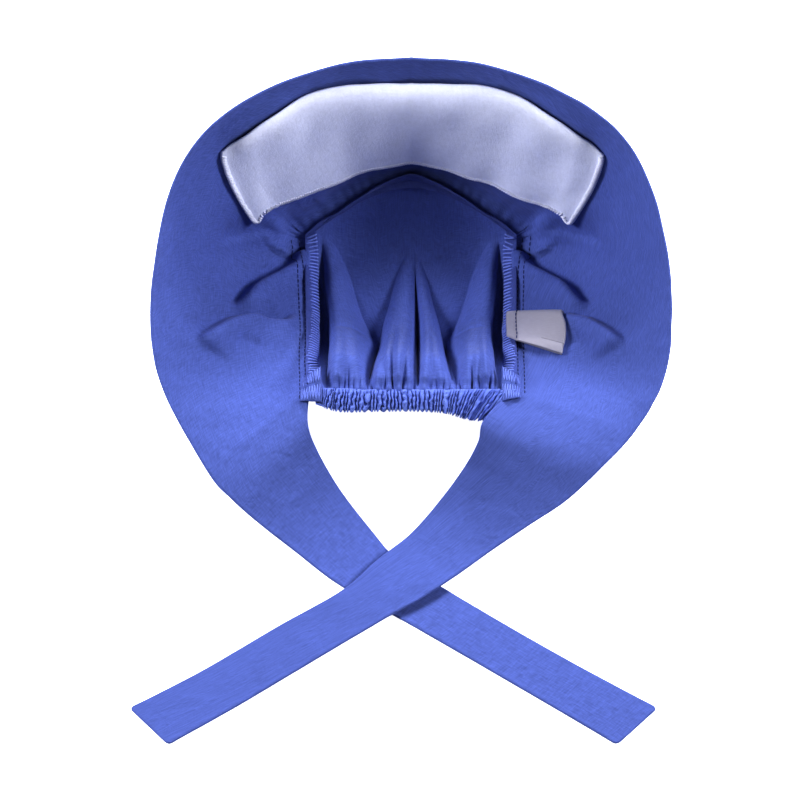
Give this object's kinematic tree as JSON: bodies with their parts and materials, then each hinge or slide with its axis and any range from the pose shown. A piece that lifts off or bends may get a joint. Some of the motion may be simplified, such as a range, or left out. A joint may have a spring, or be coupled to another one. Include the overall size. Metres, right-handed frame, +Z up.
{
  "type": "scrub cap",
  "caption": "Tie-back cloth scrub cap lying open, with a gathered nape casing, a terry sweatband and crossing ties.",
  "frame": {"origin": "middle of the flat patch of the crown that rests on the table", "axes": "+Z up from the table, +Y from the nape and the ties towards the forehead, +X to the right of someone who looks into the cap from the nape"},
  "size_m": [0.2682, 0.3169, 0.1308],
  "materials": {
    "band": "matt royal blue plain-weave cotton",
    "crown": "matt royal blue plain-weave cotton",
    "nape_casing": "matt royal blue cotton, gathered",
    "seam_allowance": "overlocked blue cotton edge",
    "sweatband": "white terry",
    "label_loop": "blank white satin"
  },
  "bodies": {
    "root": {"band": "band", "crown": "crown", "nape_casing": "nape_casing", "seam_allowance": "seam_allowance", "sweatband": "sweatband", "label_loop": "label_loop"}
  },
  "joints": []
}
